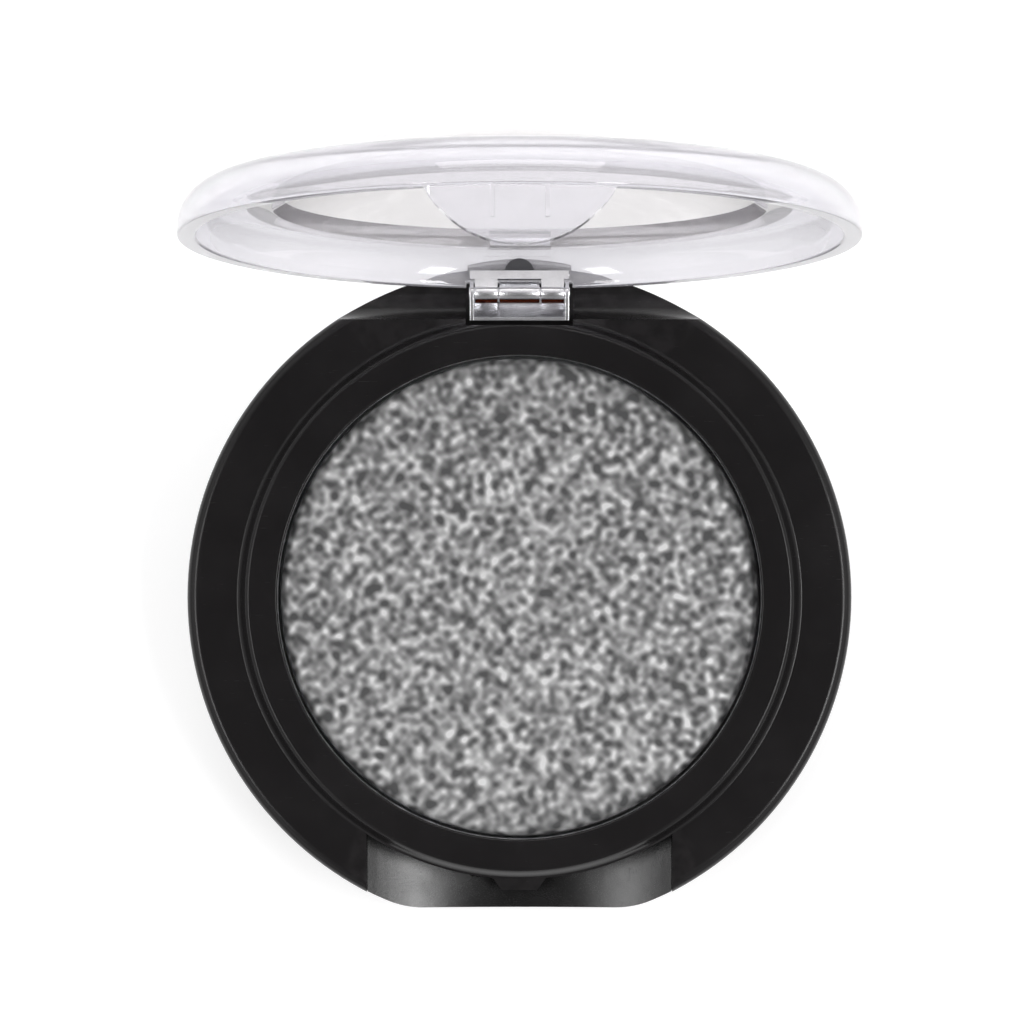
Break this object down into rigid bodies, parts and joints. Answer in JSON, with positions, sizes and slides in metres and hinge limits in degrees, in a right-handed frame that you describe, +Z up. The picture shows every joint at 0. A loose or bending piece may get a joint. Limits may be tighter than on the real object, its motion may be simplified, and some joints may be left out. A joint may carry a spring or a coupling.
{
  "type": "eyeshadow compact",
  "caption": "Round single eyeshadow compact, open: dark base with a pan of pressed powder, clear domed hinged lid with a thumb tab, and a small polished hinge.",
  "frame": {"origin": "centre of the round underside, on the surface that the base rests on", "axes": "+Z up through the pan, +Y to the hinge at the rear, -Y to the thumb notch, +X to the right seen from the front"},
  "size_m": [0.05, 0.0588, 0.0557],
  "materials": {
    "base_tray": "satin",
    "base_deck": "gloss",
    "pan": "satin",
    "powder": "matte",
    "pan_glue": "satin",
    "base_label": "matte",
    "hinge_metal": "polished",
    "hinge_pad": "matte",
    "clear_lid": "polished"
  },
  "bodies": {
    "base": {"base_tray": "base_tray", "base_deck": "base_deck", "pan": "pan", "powder": "powder", "pan_glue": "pan_glue", "base_label": "base_label", "hinge_base_leaf": "hinge_metal", "hinge_pin": "hinge_metal"},
    "lid": {"lid_rim": "clear_lid", "lid_dome": "clear_lid", "hinge_lid_leaf": "hinge_metal", "hinge_pad": "hinge_pad"}
  },
  "joints": [
    {"name": "lid_hinge", "type": "hinge", "parent": "base", "child": "lid", "pos_m": [0, 0.0229, 0.00793], "axis": [1, 0, 0], "range_deg": [0, 97]}
  ]
}
